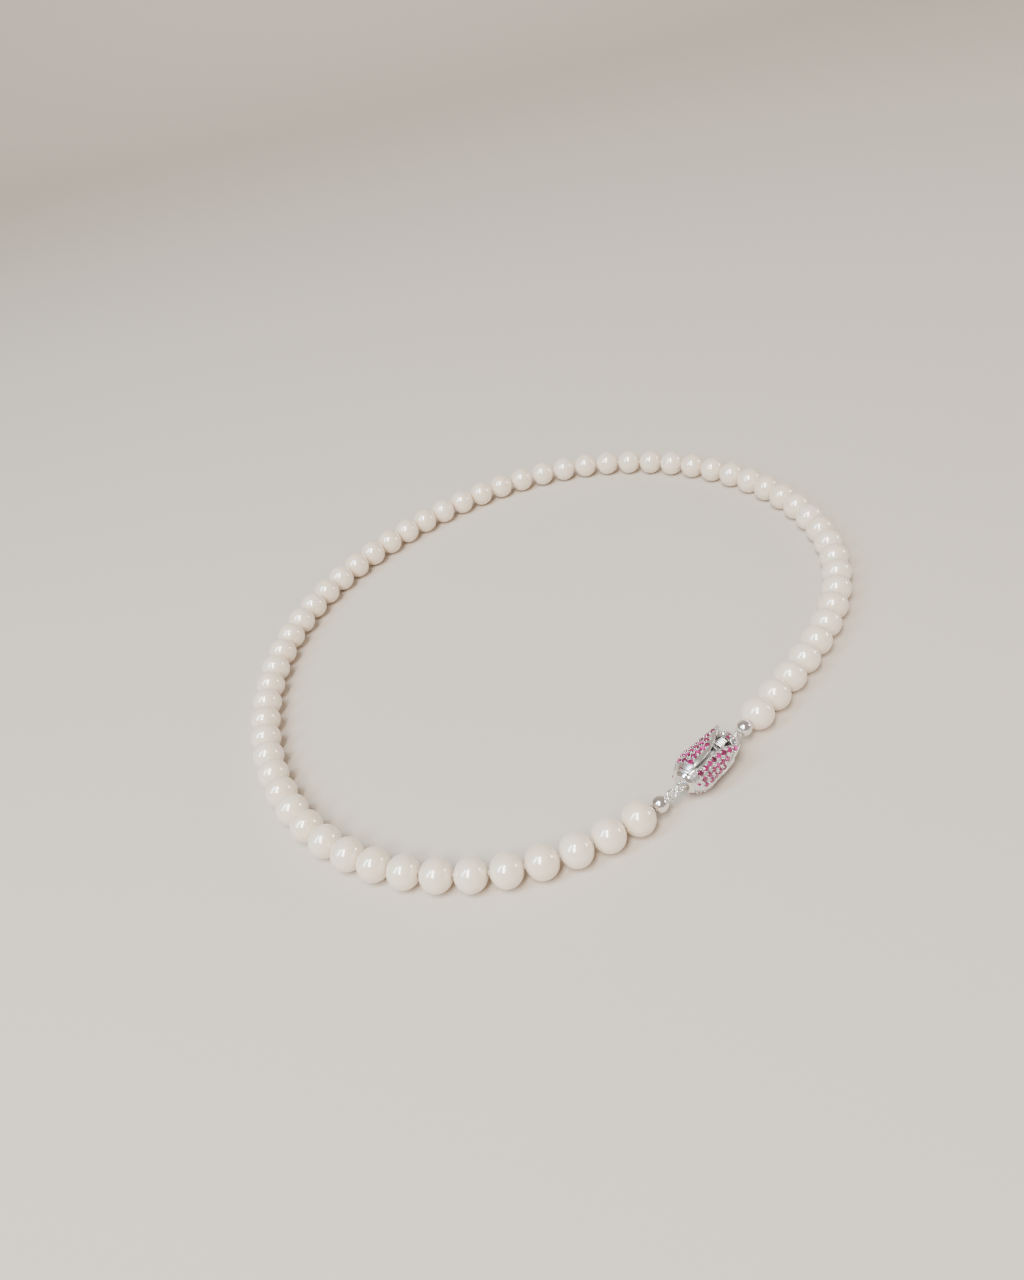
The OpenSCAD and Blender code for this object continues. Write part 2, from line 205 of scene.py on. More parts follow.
# The clasp's frame: origin at the middle of the cup's base, +X along it, +Z up
eye_near, eye_far = child_pos["cup_side_ring"], child_pos["insert"]
clasp_x = Vector((eye_far.x - eye_near.x, eye_far.y - eye_near.y, 0)).normalized()
clasp_y = Vector((-clasp_x.y, clasp_x.x, 0))
clasp_z = child_pos["spring_leaf"].z
clasp_origin = Vector((eye_near.x, eye_near.y, clasp_z)) + clasp_x * CUP_START * MM
clasp_axes = Matrix((clasp_x, clasp_y, Vector((0, 0, 1)))).transposed()
CLASP = Matrix.Translation(clasp_origin) @ clasp_axes.to_4x4()


def along(point, direction, turn=0.0):
    """A frame at point with its +Z along direction, turned about it."""
    turned = Vector(direction).normalized().to_track_quat("Z", "Y").to_matrix().to_4x4()
    return Matrix.Translation(point) @ turned @ Matrix.Rotation(turn, 4, "Z")


# ---------------------------------------------------------------- shader maths


class Value:
    """A shader socket that adds and multiplies as a number does."""

    def __init__(self, finish, socket):
        self.finish = finish
        self.socket = socket

    def _math(self, operation, other):
        return self.finish.node("ShaderNodeMath", {"operation": operation}, {0: self, 1: other})

    def __add__(self, other):
        return self._math("ADD", other)

    def __mul__(self, other):
        return self._math("MULTIPLY", other)


class Finish:
    """One material: a Principled shader with its constants set, and nodes added by name."""

    def __init__(self, name, **constants):
        self.material = bpy.data.materials.new(name)
        self.material.use_nodes = True
        self.tree = self.material.node_tree
        self.shader = self.tree.nodes["Principled BSDF"]
        for socket, value in constants.items():
            self.shader.inputs[socket.replace("_", " ")].default_value = value

    def node(self, kind, settings=None, inputs=None, output=0):
        made = self.tree.nodes.new(kind)
        for key, value in (settings or {}).items():
            if key == "stops":
                ramp = made.color_ramp.elements
                while len(ramp) < len(value):
                    ramp.new(0.5)
                for element, (place, colour) in zip(ramp, value):
                    element.position = place
                    element.color = (*colour, 1)
            else:
                setattr(made, key, value)
        for socket, value in (inputs or {}).items():
            if isinstance(value, Value):
                self.tree.links.new(value.socket, made.inputs[socket])
            else:
                made.inputs[socket].default_value = value
        return Value(self, made.outputs[output])

    def place(self):
        return self.node("ShaderNodeTexCoord", output="Object")

    def noise(self, per_mm, detail):
        """Cloudy noise from 0 to 1, with so many blobs to a millimetre."""
        inputs = {"Vector": self.place(), "Scale": per_mm / MM, "Detail": detail}
        return self.node("ShaderNodeTexNoise", {}, inputs, "Fac")

    def attribute(self, name):
        return self.node("ShaderNodeAttribute", {"attribute_name": name}, {}, "Fac")

    def ramp(self, value, *stops):
        return self.node("ShaderNodeValToRGB", {"stops": stops}, {0: value}, "Color")

    def mix(self, share, first, second):
        first, second = [c if isinstance(c, Value) else (*c, 1) for c in (first, second)]
        return self.node("ShaderNodeMix", {"data_type": "RGBA"}, {0: share, 6: first, 7: second}, 2)

    def bump(self, height, depth_mm):
        inputs = {"Height": height, "Distance": depth_mm * MM, "Strength": 1.0}
        return self.node("ShaderNodeBump", {}, inputs, "Normal")

    def feed(self, **sockets):
        for socket, value in sockets.items():
            self.tree.links.new(value.socket, self.shader.inputs[socket.replace("_", " ")])
        return self.material


def nacre():
    """Pearl nacre: ivory with rose and green overtones under a glossy skin."""
    finish = Finish(
        "nacre",
        Metallic=0.0,
        IOR=1.6,
        Specular_IOR_Level=0.6,
        Subsurface_Weight=0.25,
        Subsurface_Radius=(1.0, 0.66, 0.42),
        Subsurface_Scale=1.3 * MM,
        Coat_Weight=1.0,
        Coat_Roughness=0.05,
        Coat_IOR=2.2,
        Sheen_Weight=0.18,
        Sheen_Roughness=0.4,
        Sheen_Tint=(1.0, 0.86, 0.84, 1),
    )
    tint = finish.attribute("tint")
    cloud = finish.noise(0.16, 2.0)
    overtone = finish.ramp(
        cloud, (0.25, (0.92, 0.81, 0.63)), (0.5, (0.93, 0.79, 0.65)), (0.75, (0.92, 0.75, 0.65))
    )
    ivory = finish.mix(tint * 0.6, overtone, (0.88, 0.72, 0.53))
    skin = finish.noise(1.4, 3.0)
    pores = finish.noise(9.0, 2.0)
    return finish.feed(
        Base_Color=ivory,
        Roughness=skin * 0.14 + 0.3,
        Normal=finish.bump(skin * 0.8 + pores * 0.12, 0.012),
    )


def silk():
    """Twisted silk, with fine plies along the thread."""
    finish = Finish("silk", Roughness=0.75, Sheen_Weight=0.4, Sheen_Roughness=0.4)
    ply = finish.noise(9.0, 3.0)
    colour = finish.ramp(ply, (0.3, (0.62, 0.57, 0.5)), (0.7, (0.9, 0.87, 0.81)))
    return finish.feed(Base_Color=colour, Normal=finish.bump(ply, 0.03))


def silver(name, roughness, grain_mm, tone):
    """Silver: polished or satin, with a faint tarnish in clouds and fine wear marks."""
    finish = Finish(name, Metallic=1.0)
    tarnish = finish.noise(0.5, 4.0)
    wear = finish.noise(5.0, 5.0)
    dark = [channel * 0.8 for channel in tone]
    colour = finish.ramp(tarnish, (0.3, dark), (0.62, tone))
    return finish.feed(
        Base_Color=colour,
        Roughness=wear * roughness + roughness * 0.6,
        Normal=finish.bump(wear, grain_mm),
    )


def ruby():
    """Ruby: red, with painted dark and bright cut faces standing in for the light and shade inside
    the stone, under a hard polish.
    """
    finish = Finish(
        "ruby",
        IOR=1.77,
        Specular_IOR_Level=0.5,
        Coat_Weight=0.35,
        Coat_Roughness=0.03,
        Coat_IOR=1.6,
    )
    # Painted light: a brightness for each cut face, plus a cloudy noise, stands in for the light
    # and shade inside the stone; only the red hue is the ruby's own. The noise also varies the
    # roughness.
    facet = finish.attribute("facet")
    painted_fire_and_roughness = finish.noise(0.9, 1.0)
    colour = finish.ramp(
        facet * 0.8 + painted_fire_and_roughness * 0.3,
        (0.1, (0.045, 0.001, 0.012)),
        (0.45, (0.16, 0.002, 0.05)),
        (0.72, (0.38, 0.005, 0.15)),
        (0.97, (0.72, 0.05, 0.38)),
    )
    return finish.feed(Base_Color=colour, Roughness=painted_fire_and_roughness * 0.08 + 0.04)


BRIGHT = (0.93, 0.92, 0.91)
NACRE = nacre()
SILK = silk()
POLISHED = silver("polished_silver", 0.1, 0.0012, BRIGHT)
PAVE = silver("pave_silver", 0.26, 0.02, (0.88, 0.87, 0.87))
SATIN = silver("satin_silver", 0.3, 0.006, (0.70, 0.70, 0.71))
RUBY = ruby()

# ---------------------------------------------------------------- shapes


def lathed(profile, sides, place):
    """A bmesh spun from a profile, its seam and poles merged and its faces turned out."""
    shape = bmesh.new()
    verts = [shape.verts.new((radius * MM, 0, height * MM)) for radius, height in profile]
    edges = [shape.edges.new(pair) for pair in zip(verts, verts[1:])]
    bmesh.ops.spin(
        shape,
        geom=verts + edges,
        cent=(0, 0, 0),
        axis=(0, 0, 1),
        angle=math.tau,
        steps=sides,
        use_merge=True,
    )
    bmesh.ops.remove_doubles(shape, verts=shape.verts, dist=WELD * MM)
    bmesh.ops.recalc_face_normals(shape, faces=shape.faces)
    shape.transform(place)
    return shape


def ring(major_r, place, gap_deg=0):
    """A round wire ring about Z, whole or with a fine cut where its ends meet."""
    shape = bmesh.new()
    made = bmesh.ops.create_circle(shape, segments=WIRE_SIDES, radius=WIRE_R * MM)
    bmesh.ops.rotate(shape, verts=made["verts"], matrix=Matrix.Rotation(math.pi / 2, 3, "X"))
    bmesh.ops.translate(shape, verts=made["verts"], vec=(major_r * MM, 0, 0))
    whole = gap_deg == 0
    bmesh.ops.spin(
        shape,
        geom=shape.verts[:] + shape.edges[:],
        cent=(0, 0, 0),
        axis=(0, 0, 1),
        angle=math.tau - math.radians(gap_deg),
        steps=RING_SIDES,
        use_merge=whole,
    )
    bmesh.ops.remove_doubles(shape, verts=shape.verts, dist=WELD * MM)
    if not whole:
        bmesh.ops.holes_fill(shape, edges=[edge for edge in shape.edges if edge.is_boundary])
    bmesh.ops.recalc_face_normals(shape, faces=shape.faces)
    shape.transform(place)
    return shape


def merge(target, source):
    """Adds one bmesh to another and frees it."""
    mesh = bpy.data.meshes.new("part")
    source.to_mesh(mesh)
    source.free()
    target.from_mesh(mesh)
    bpy.data.meshes.remove(mesh)


def piece(name, shape, finish, body, slot, *nodes, smooth=True):
    """Turns a bmesh into a piece that rides on a body and stands for CAD nodes."""
    mesh = bpy.data.meshes.new(name)
    shape.to_mesh(mesh)
    shape.free()
    mesh.polygons.foreach_set("use_smooth", [smooth] * len(mesh.polygons))
    mesh.materials.append(finish)
    made = bpy.data.objects.new(name, mesh)
    bpy.context.scene.collection.objects.link(made)
    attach(made, body)
    if nodes:
        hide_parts(*nodes)
    return made


def paint(made, name, values):
    """Stores one number for each face of a piece."""
    layer = made.data.attributes.new(name, "FLOAT", "FACE")
    layer.data.foreach_set("value", values)


# ---------------------------------------------------------------- pearls and silk


def pearl_profile(swell):
    """Half outline of a drilled pearl, from hole to hole, with rounded rims at the drill hole."""
    offset = PEARL_R - PEARL_HALF
    steps = 26
    lip = math.acos((DRILL_R + DRILL_ROUNDING - offset) / PEARL_HALF)
    outline = []
    for i in range(steps + 1):
        angle = lip - 2 * lip * i / steps
        radius = offset + PEARL_HALF * math.cos(angle)
        height = PEARL_HALF * math.sin(angle) * (1 - swell * math.sin(2 * angle) ** 2)
        outline.append((radius, height))
    top = outline[0][1]
    hole = [
        (DRILL_R, 0),
        (DRILL_R, top - 0.35),
        (DRILL_R + 0.015, top - 0.1),
        (DRILL_R + 0.05, top - 0.03),
    ]
    return hole + outline + [(radius, -height) for radius, height in reversed(hole)]


def pearls():
    """Four pearls to a piece, each with its own tint and a slight unevenness."""
    chance = random.Random(12)
    stops = [start_knot] + pearl_centres + [end_knot]
    for link in range(LINKS):
        shape = bmesh.new()
        tints = []
        for i in range(PEARLS_A_LINK):
            number = link * PEARLS_A_LINK + i
            axis = stops[number + 2] - stops[number]
            place = along(pearl_centres[number], axis, chance.uniform(0, math.tau))
            one = lathed(pearl_profile(chance.uniform(0.0, 0.012)), PEARL_SIDES, Matrix())
            bulge = Vector([chance.uniform(-1, 1) for _ in range(3)]).normalized()
            uneven = chance.uniform(0.003, 0.012)
            for vert in one.verts:
                if vert.co.length > UNEVEN_FROM * MM:
                    lean = vert.co.normalized().dot(bulge)
                    vert.co *= 1 - uneven * lean ** 2
            one.transform(place)
            tints += [chance.uniform(0.0, 1.0)] * len(one.faces)
            merge(shape, one)
        name = f"pearls_{link + 1:02d}"
        made = piece(f"nacre_{name}", shape, NACRE, f"strand_{link + 1:02d}", "nacre", name)
        paint(made, "tint", tints)


def knot(place, size=1.0):
    """A tight overhand knot, its three lobes pressed flat between two pearls."""
    shape = bmesh.new()
    rings = []
    for i in range(KNOT_STEPS):
        angle = math.tau * i / KNOT_STEPS
        wide = KNOT_R - KNOT_TUBE_R - KNOT_WEAVE + KNOT_WEAVE * math.cos(KNOT_LOBES * angle)
        high = KNOT_RISE * math.sin(KNOT_LOBES * angle)
        centre = Vector((wide * math.cos(2 * angle), wide * math.sin(2 * angle), high))
        outward = Vector((math.cos(2 * angle), math.sin(2 * angle), 0))
        made = bmesh.ops.create_circle(shape, segments=KNOT_SIDES, radius=KNOT_TUBE_R)
        turned = Matrix((outward, Vector((0, 0, 1)), outward.cross(Vector((0, 0, 1))))).transposed()
        placed = Matrix.Translation(centre) @ turned.to_4x4()
        bmesh.ops.transform(shape, verts=made["verts"], matrix=placed)
        rings.append(made["verts"])
    for first, second in zip(rings, rings[1:] + rings[:1]):
        for j in range(KNOT_SIDES):
            k = (j + 1) % KNOT_SIDES
            shape.faces.new((first[j], first[k], second[k], second[j]))
    bmesh.ops.recalc_face_normals(shape, faces=shape.faces)
    bmesh.ops.scale(shape, vec=Vector((MM, MM, MM)) * size, verts=shape.verts)
    shape.transform(place)
    return shape


def thread_run(start, stop):
    """A straight stretch of thread."""
    length = (stop - start).length
    shape = bmesh.new()
    bmesh.ops.create_cone(
        shape,
        cap_ends=True,
        segments=THREAD_SIDES,
        radius1=THREAD_R * MM,
        radius2=THREAD_R * MM,
        depth=length,
    )
    shape.transform(along((start + stop) / 2, stop - start))
    return shape


def knot_places():
    """A knot between each two pearls, and one at each end of the strand."""
    middles = [(a + b) / 2 for a, b in zip(pearl_centres, pearl_centres[1:])]
    return [start_knot] + middles + [end_knot]


def silk_thread():
    places = knot_places()
    for link in range(LINKS):
        shape = bmesh.new()
        first = link * PEARLS_A_LINK
        for i in range(first, first + PEARLS_A_LINK):
            axis = places[i + 1] - places[i]
            merge(shape, knot(along(places[i], axis), END_KNOT if i == 0 else 1.0))
            merge(shape, thread_run(places[i], places[i + 1]))
        if link == LINKS - 1:
            merge(shape, knot(along(places[-1], places[-1] - places[-2]), END_KNOT))
        name = f"thread_{link + 1:02d}"
        piece(f"silk_{name}", shape, SILK, f"strand_{link + 1:02d}", "silk", name)


# ---------------------------------------------------------------- silver beads, link and rings


def bead_profile():
    """Hollow bead with a low lip round its thread hole. Height 0 is its middle."""
    outer = []
    steps = 24
    lip = math.asin(BEAD_LIP_R / BEAD_R)
    for i in range(steps + 1):
        angle = lip + (math.pi - lip) * i / steps
        outer.append((BEAD_R * math.sin(angle), -BEAD_R * math.cos(angle)))
    edge = -BEAD_R * math.cos(lip)
    low_lip = [
        (DRILL_R, edge + 0.3),
        (DRILL_R, edge + 0.04),
        (DRILL_R + 0.04, edge),
        (BEAD_LIP_R - 0.08, edge - 0.01),
        (BEAD_LIP_R - 0.02, edge - 0.005),
    ]
    inner_r = BEAD_R - BEAD_WALL
    inner_lip = math.asin(DRILL_R / inner_r)
    inner = []
    for i in range(13):
        angle = math.pi - (math.pi - inner_lip) * i / 12
        inner.append((inner_r * math.sin(angle), -inner_r * math.cos(angle)))
    return inner + low_lip + outer


def silver_bead(side, end, towards):
    """The bead over an end knot, with its wire eye and a small solder collar under it."""
    body = f"{side}_bead"
    axis = towards - end
    direction = axis.normalized()
    centre = end + direction * (BEAD_START + BEAD_R) * MM
    ball = lathed(bead_profile(), BEAD_SIDES, along(centre, axis))
    piece(f"{side}_ball", ball, POLISHED, body, "silver", body)
    eye_at = end + direction * (BEAD_START + 2 * BEAD_R - EYE_SINK + EYE_R) * MM
    side_axis = direction.cross(Vector((0, 0, 1))).normalized()
    normal = Matrix.Rotation(math.radians(RING_TURN), 3, direction) @ side_axis
    shape = ring(EYE_R, along(eye_at, normal))
    foot = end + direction * (BEAD_START + 2 * BEAD_R - COLLAR_SINK) * MM
    merge(shape, lathed(COLLAR, COLLAR_SIDES, along(foot, axis)))
    piece(f"{side}_eye", shape, POLISHED, body, "silver", f"{side}_bead_eye")


def hung_ring(name, start, stop, major_r, turn_deg, gap_deg):
    """A link or jump ring between two hanging places."""
    direction = (stop - start).normalized()
    centre = start + direction * (major_r - HANG_IN) * MM
    side_axis = direction.cross(Vector((0, 0, 1))).normalized()
    normal = Matrix.Rotation(math.radians(turn_deg), 3, direction) @ side_axis
    shape = ring(major_r, along(centre, normal, RING_CUT_TURN), gap_deg)
    piece(f"{name}_wire", shape, POLISHED, name, "silver", name)


def end_pieces():
    link_at = child_pos["cup_side_link"]
    ring_at = child_pos["cup"]
    far_ring_at = child_pos["insert_side_ring"]
    silver_bead("cup_side", end_knot, link_at)
    silver_bead("insert_side", start_knot, far_ring_at)
    hung_ring("cup_side_link", link_at, ring_at, LINK_R, CROSS_TURN, 0)
    hung_ring("cup_side_ring", ring_at, eye_near, RING_R, RING_TURN, RING_GAP)
    hung_ring("insert_side_ring", far_ring_at, eye_far, RING_R, CROSS_TURN, RING_GAP)


# ---------------------------------------------------------------- the tulip

belly_arc = (BELLY_X ** 2 + (TULIP_R - BASE_R) ** 2) / (2 * (TULIP_R - BASE_R))
half_waist = (TULIP_LEN - BELLY_X) / 2
waist_arc = (half_waist ** 2 + WAIST_DROP ** 2) / (2 * WAIST_DROP)
waist_x = BELLY_X + half_waist
leaf_arc = ((TULIP_LEN - LEAF_MID) ** 2 + LEAF_HALF ** 2) / (2 * LEAF_HALF)


def cup_r(x):
    """The tulip's outer radius at a distance from its base."""
    if x < BELLY_X:
        return TULIP_R - belly_arc + math.sqrt(belly_arc ** 2 - (x - BELLY_X) ** 2)
    return TULIP_R - WAIST_DROP + waist_arc - math.sqrt(waist_arc ** 2 - (x - waist_x) ** 2)


def leaf_half_at(x):
    return math.sqrt(max(leaf_arc ** 2 - (x - LEAF_MID) ** 2, 0)) - leaf_arc + LEAF_HALF


def ease(value):
    value = min(max(value, 0), 1)
    return value * value * (3 - 2 * value)


def between(stops, x):
    """Straight-line interpolation in a short list of (place, value) stops."""
    for (near, first), (far, second) in zip(stops, stops[1:]):
        if x <= far:
            return first + (second - first) * max(x - near, 0) / (far - near)
    return stops[-1][1]


def petal_sides(x):
    """A petal's two sides at a distance from its base: a leaf, kept clear of the slits."""
    half = max(leaf_half_at(x), LEAST_HALF)
    radius = cup_r(x)
    limit = radius * math.sin(math.radians(45) - math.asin(PETAL_SLIT / 2 / radius))
    shift = (x - LEAF_MID) * math.sin(LEAF_LEAN)
    lean = math.cos(LEAF_LEAN)
    return max(-half, (-limit - shift) / lean), min(half, (limit - shift) / lean)


def petal_relief(x, across, low, high):
    """Height of a petal's face: its polished rim stands over the field of stones."""
    field_low = max(leaf_half_at(x) - between(FIELD_WIDTHS, x), low + THIN_RIM)
    from_sides = min(high - THIN_RIM - across, across - field_low)
    inside = min(from_sides, x - CAP_LEN - FIELD_START, FIELD_END - x)
    field = ease(inside / FIELD_SLOPE + 0.5)
    rim_share = min(max((across - low) / (field_low - low), 0), 1)
    crown = RIM_CROWN * ease((field_low - low - 0.4) / 0.6) * math.sin(math.pi * rim_share)
    return RIM_RISE + crown - (RIM_RISE + FIELD_DROP) * field


def wrap(x, across, height):
    """Wraps a point of the petal's plane onto the tulip, facing -Y, with a lean round the cup."""
    lean_x = LEAF_MID + (x - LEAF_MID) * math.cos(LEAF_LEAN) - across * math.sin(LEAF_LEAN)
    lean_z = (x - LEAF_MID) * math.sin(LEAF_LEAN) + across * math.cos(LEAF_LEAN)
    lean_x = min(max(lean_x, CAP_LEN), TULIP_LEN)
    radius = cup_r(lean_x)
    angle = math.asin(lean_z / radius)
    out = radius + height
    return Vector((lean_x, -out * math.cos(angle), out * math.sin(angle)))


def petal(turn_deg):
    """A thick curved petal with a raised polished rim round its sunk pave field."""
    shape = bmesh.new()
    bmesh.ops.create_grid(shape, x_segments=PETAL_ROWS, y_segments=PETAL_COLUMNS, size=1)
    for vert in shape.verts:
        share = (vert.co.x + 1) / 2
        share = 1 - (1 - share) ** ROW_CROWDING
        x = CAP_LEN + PETAL_END_GAP + (TULIP_LEN - 2 * PETAL_END_GAP - CAP_LEN) * share
        low, high = petal_sides(x)
        side = math.copysign(abs(vert.co.y) ** SIDE_CROWDING, vert.co.y)
        across = (low + high) / 2 + side * (high - low) / 2
        vert.co = wrap(x, across, petal_relief(x, across, low, high))
    made = bmesh.ops.extrude_face_region(shape, geom=shape.faces[:])
    inner = [item for item in made["geom"] if isinstance(item, bmesh.types.BMVert)]
    for vert in inner:
        radius = math.hypot(vert.co.y, vert.co.z)
        target = cup_r(vert.co.x) - PETAL_T
        vert.co.y *= target / radius
        vert.co.z *= target / radius
    bmesh.ops.recalc_face_normals(shape, faces=shape.faces)
    manifold = [edge for edge in shape.edges if edge.is_manifold]
    sharp = [edge for edge in manifold if edge.calc_face_angle() > SHARP_EDGE]
    bmesh.ops.bevel(
        shape,
        geom=sharp,
        offset=PETAL_EDGE,
        offset_type="OFFSET",
        affect="EDGES",
        segments=3,
        profile=0.5,
        material=-1,
    )
    bmesh.ops.recalc_face_normals(shape, faces=shape.faces)
    bmesh.ops.scale(shape, vec=(MM, MM, MM), verts=shape.verts)
    turned = Matrix.Rotation(math.radians(-FRONT_PETAL_DIR - turn_deg), 4, "X")
    shape.transform(CLASP @ turned)
    return shape


def stone_places(node):
    """The middle of each stone's table and the way it faces, from its CAD solid."""
    places = []
    for faces in islands(node):
        centre = area_centre(faces)
        reach = centre - clasp_origin
        radial = (reach - clasp_x * reach.dot(clasp_x)).normalized()
        facing = [face for face in faces if face[2].dot(radial) > TABLE_FACING]
        out = sum((normal * area for _, area, normal in facing), Vector())
        out.normalize()
        places.append((centre + out * RUBY_HALF * MM, out))
    return places


def cut_stone(place, chance):
    """A round stone: an eight-sided table, sixteen girdle corners and a pointed pavilion."""
    shape = bmesh.new()
    girdle = bmesh.ops.create_circle(shape, segments=16, radius=RUBY_R)["verts"]
    table = bmesh.ops.create_circle(shape, segments=8, radius=RUBY_R * TABLE_SHARE)["verts"]
    bmesh.ops.translate(shape, verts=girdle, vec=(0, 0, -GIRDLE_DROP))
    bmesh.ops.translate(shape, verts=table, vec=(0, 0, TABLE_RISE))
    bmesh.ops.bridge_loops(shape, edges=shape.edges[:])
    rim = [edge for edge in shape.edges if edge.is_boundary]
    top = [edge for edge in rim if edge.verts[0].co.z > 0]
    low = [edge for edge in rim if edge.verts[0].co.z < 0]
    bmesh.ops.contextual_create(shape, geom=top)
    lower = bmesh.ops.extrude_edge_only(shape, edges=low)
    point = [item for item in lower["geom"] if isinstance(item, bmesh.types.BMVert)]
    bmesh.ops.pointmerge(shape, verts=point, merge_co=(0, 0, -POINT_DROP))
    bmesh.ops.recalc_face_normals(shape, faces=shape.faces)
    turned = Matrix.Rotation(chance.uniform(0, 1), 3, "Z")
    bmesh.ops.rotate(shape, verts=shape.verts, matrix=turned)
    bmesh.ops.scale(shape, vec=(MM, MM, MM), verts=shape.verts)
    shape.transform(place)
    return shape


def stones(node, body, chance):
    """Faceted rubies in their seats. Each cut face has its own painted brightness, standing in for
    light and shade inside the stone.
    """
    shape = bmesh.new()
    painted_facet_lights = []
    for centre, out in stone_places(node):
        one = cut_stone(along(centre, out), chance)
        # Painted light: each cut face gets a brightness, shifted for each stone, which the ruby
        # material turns into dark and bright faces.
        whole = chance.uniform(-0.15, 0.3)
        painted_facet_lights += [min(max(whole + chance.random() * 0.8, 0), 1) for _ in one.faces]
        merge(shape, one)
    made = piece(f"{node}_cut", shape, RUBY, body, "ruby", node, smooth=False)
    paint(made, "facet", painted_facet_lights)


def grains(node, body, field):
    """Silver grains that hold the stones: four round each, shared where two stones meet."""
    places = stone_places(node)
    found = []
    for centre, out in places:
        forward = (clasp_x - out * clasp_x.dot(out)).normalized()
        beside = out.cross(forward)
        for turn in range(4):
            angle = math.pi / 4 + turn * math.pi / 2
            spot = centre - out * GRAIN_SINK * MM
            spoke = forward * math.cos(angle) + beside * math.sin(angle)
            spot += spoke * (RUBY_R + GRAIN_OUT) * MM
            near = [grain for grain in found if (grain[0] - spot).length < GRAIN_SHARED * MM]
            if near:
                near[0][0] = (near[0][0] + spot) / 2
            else:
                found.append([spot, out])
    shape = bmesh.new()
    for spot, out in found:
        grain = bmesh.new()
        bmesh.ops.create_uvsphere(grain, u_segments=10, v_segments=6, radius=GRAIN_R * MM)
        grain.transform(along(spot, out))
        merge(shape, grain)
    piece(f"{field}_grains", shape, POLISHED, body, "silver")


def tulip():
    chance = random.Random(7)
    for name, turn in PETAL_TURNS.items():
        piece(f"{name}_shell", petal(turn), PAVE, "cup", "silver", name)
        stones(f"{name}_rubies", "cup", chance)
        grains(f"{name}_rubies", "cup", name)
    stones("insert_head_rubies", "insert", chance)
    grains("insert_head_rubies", "insert", "insert_head")


def softened(name, node, finish, body, slot, edge_mm):
    """A CAD solid with its sharp edges broken, as filing and polishing leave them."""
    shape = bmesh.new()
    shape.from_mesh(frame["nodes"][node].data)
    bmesh.ops.remove_doubles(shape, verts=shape.verts, dist=CAD_WELD_M)
    flat = math.radians(1)
    bmesh.ops.dissolve_limit(shape, angle_limit=flat, verts=shape.verts, edges=shape.edges)
    made = piece(name, shape, finish, body, slot, node)
    bevel = made.modifiers.new("broken_edges", "BEVEL")
    bevel.width = edge_mm * MM
    bevel.segments = 2
    bevel.limit_method = "ANGLE"
    bevel.angle_limit = math.radians(40)
    bevel.harden_normals = True
    return made


def clasp_metal():
    softened("channel_box", "tongue_channel", SATIN, "cup", "satin_silver", 0.04)
    softened("tongue_blade", "tongue", SATIN, "insert", "satin_silver", 0.04)
    softened("leaf_spring", "spring_leaf", SATIN, "spring_leaf", "satin_silver", 0.04)
    softened("ribbed_grip", "thumb_grip", POLISHED, "spring_leaf", "silver", 0.03)
    softened("head_dome", "insert_head", POLISHED, "insert", "silver", 0.05)
    softened("calyx_base", "calyx", POLISHED, "cup", "silver", 0.08)
    eyes = (
        ("cup_eye", "cup", -EYE_OUT, CUP_EYE_TURN),
        ("insert_eye", "insert", INSERT_END + EYE_OUT, INSERT_EYE_TURN),
    )
    for node, body, x, turn in eyes:
        centre = CLASP @ Vector((x * MM, 0, -EYE_DROP * MM))
        normal = CLASP.to_3x3() @ Matrix.Rotation(math.radians(turn), 3, "X") @ Vector((0, 0, 1))
        wire = ring(CLASP_EYE_R, along(centre, normal))
        piece(f"{node}_wire", wire, POLISHED, body, "silver", node)
    for node in ("cup_side_crimp", "insert_side_crimp"):
        frame["nodes"][node].data.materials[0] = POLISHED
    for node in ("cup_side_thread_end", "insert_side_thread_end"):
        frame["nodes"][node].data.materials[0] = SILK


# ---------------------------------------------------------------- floor, light and camera


FLOOR_HALF = 3
FLOOR_FLAT = 1.0
FLOOR_ROWS = 80
FLOOR_TURN = math.radians(14.6)
SWEEP_R = 0.5


def floor():
    """A pale floor that sweeps up into a backdrop behind the necklace. Its colour grows lighter
    towards the back: painted light that makes up for the lamps' fall-off.
    """
    shape = bmesh.new()
    bmesh.ops.create_grid(shape, x_segments=2, y_segments=FLOOR_ROWS, size=FLOOR_HALF)
    for vert in shape.verts:
        past = vert.co.y - FLOOR_FLAT
        if past > 0:
            angle = min(past / SWEEP_R, math.pi / 2)
            climb = max(past - SWEEP_R * math.pi / 2, 0)
            vert.co.y = FLOOR_FLAT + SWEEP_R * math.sin(angle)
            vert.co.z = SWEEP_R * (1 - math.cos(angle)) + climb
    shape.transform(Matrix.Rotation(FLOOR_TURN, 4, "Z"))
    mesh = bpy.data.meshes.new("floor")
    shape.to_mesh(mesh)
    shape.free()
    mesh.polygons.foreach_set("use_smooth", [True] * len(mesh.polygons))
    finish = Finish("floor_with_painted_light", Roughness=0.9)
    # Painted light: the colour runs from darker at the front to lighter at the back, evening out
    # the light, with a faint real speckle.
    away = finish.node("ShaderNodeSeparateXYZ", {}, {"Vector": finish.place()}, "Y")
    speckle = finish.noise(0.4, 3.0)
    floor_colour_with_painted_light = finish.ramp(
        away * 0.6 + speckle * 0.03, (0.05, (0.60, 0.53, 0.455)), (0.8, (0.88, 0.80, 0.71))
    )
    mesh.materials.append(finish.feed(Base_Color=floor_colour_with_painted_light))
    made = bpy.data.objects.new("floor", mesh)
    bpy.context.scene.collection.objects.link(made)


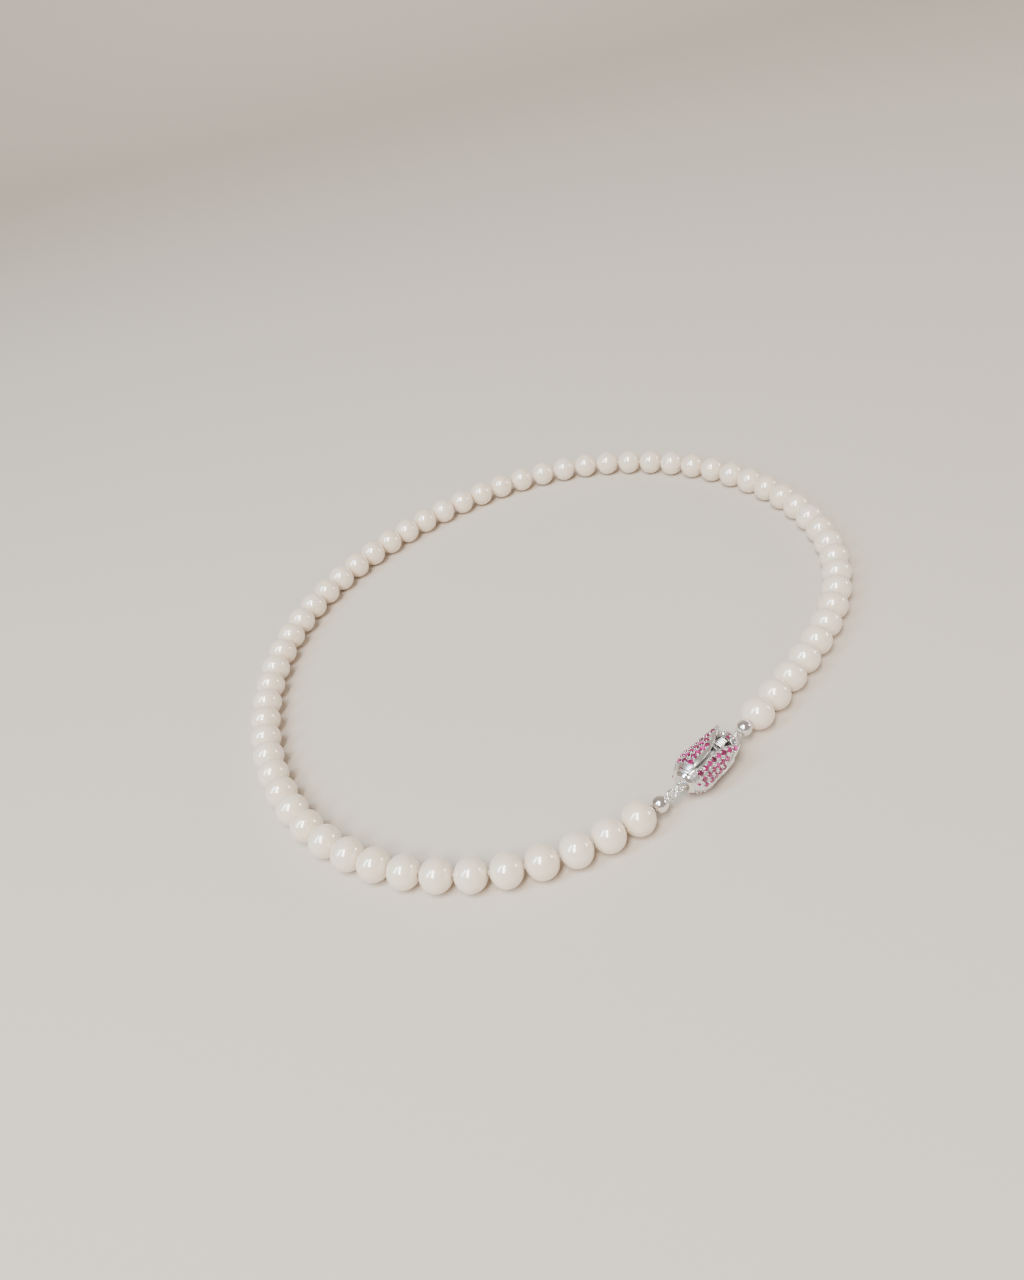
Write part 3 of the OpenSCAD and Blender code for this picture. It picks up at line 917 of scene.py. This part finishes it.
CAMERA_AT = Vector((40.6, -196.1, 142.9)) * MM
CAMERA_FORWARD = Vector((-0.205, 0.787, -0.582)).normalized()
CAMERA_RIGHT = Vector((0.976, 0.115, -0.187)).normalized()
CAMERA_LENS = 28.1
SENSOR_HEIGHT = 36.0
CLIP_START = 0.005


def camera():
    data = bpy.data.cameras.new("camera")
    data.sensor_fit = "VERTICAL"
    data.sensor_height = SENSOR_HEIGHT
    data.lens = CAMERA_LENS
    data.clip_start = CLIP_START
    made = bpy.data.objects.new("camera", data)
    back = -CAMERA_FORWARD
    up = back.cross(CAMERA_RIGHT).normalized()
    right = up.cross(back).normalized()
    turned = Matrix((right, up, back)).transposed().to_4x4()
    made.matrix_world = Matrix.Translation(CAMERA_AT) @ turned
    bpy.context.scene.collection.objects.link(made)
    bpy.context.scene.camera = made
    return right, up, back


def pane(name, direction, distance, width, height, power, colour):
    """One window pane: a soft area light that faces the necklace."""
    data = bpy.data.lights.new(name, "AREA")
    data.shape = "RECTANGLE"
    data.size = width
    data.size_y = height
    data.energy = power
    data.color = colour
    made = bpy.data.objects.new(name, data)
    at = direction.normalized() * distance
    made.matrix_world = along(at, at)
    bpy.context.scene.collection.objects.link(made)


def lights(right, up, back):
    white_from = back * 0.92 - right * 0.3 + up * 0.3
    blue_from = back * 0.66 - right * 0.72 + up * 0.25
    lamp_from = back * 0.2 + right * 0.9 + up * 0.5
    pane("window_white", white_from, 1.0, 0.26, 0.8, 17.0, (1.0, 0.95, 0.88))
    pane("window_blue", blue_from, 1.0, 0.22, 0.8, 8.5, (0.55, 0.82, 1.0))
    pane("lamp_right", lamp_from, 1.2, 0.3, 0.3, 3, (1.0, 0.95, 0.9))
    world = bpy.data.worlds.new("studio")
    world.use_nodes = True
    background = world.node_tree.nodes["Background"]
    background.inputs["Color"].default_value = (0.95, 0.83, 0.74, 1)
    background.inputs["Strength"].default_value = 0.5
    bpy.context.scene.world = world


pearls()
silk_thread()
end_pieces()
tulip()
clasp_metal()
floor()
lights(*camera())
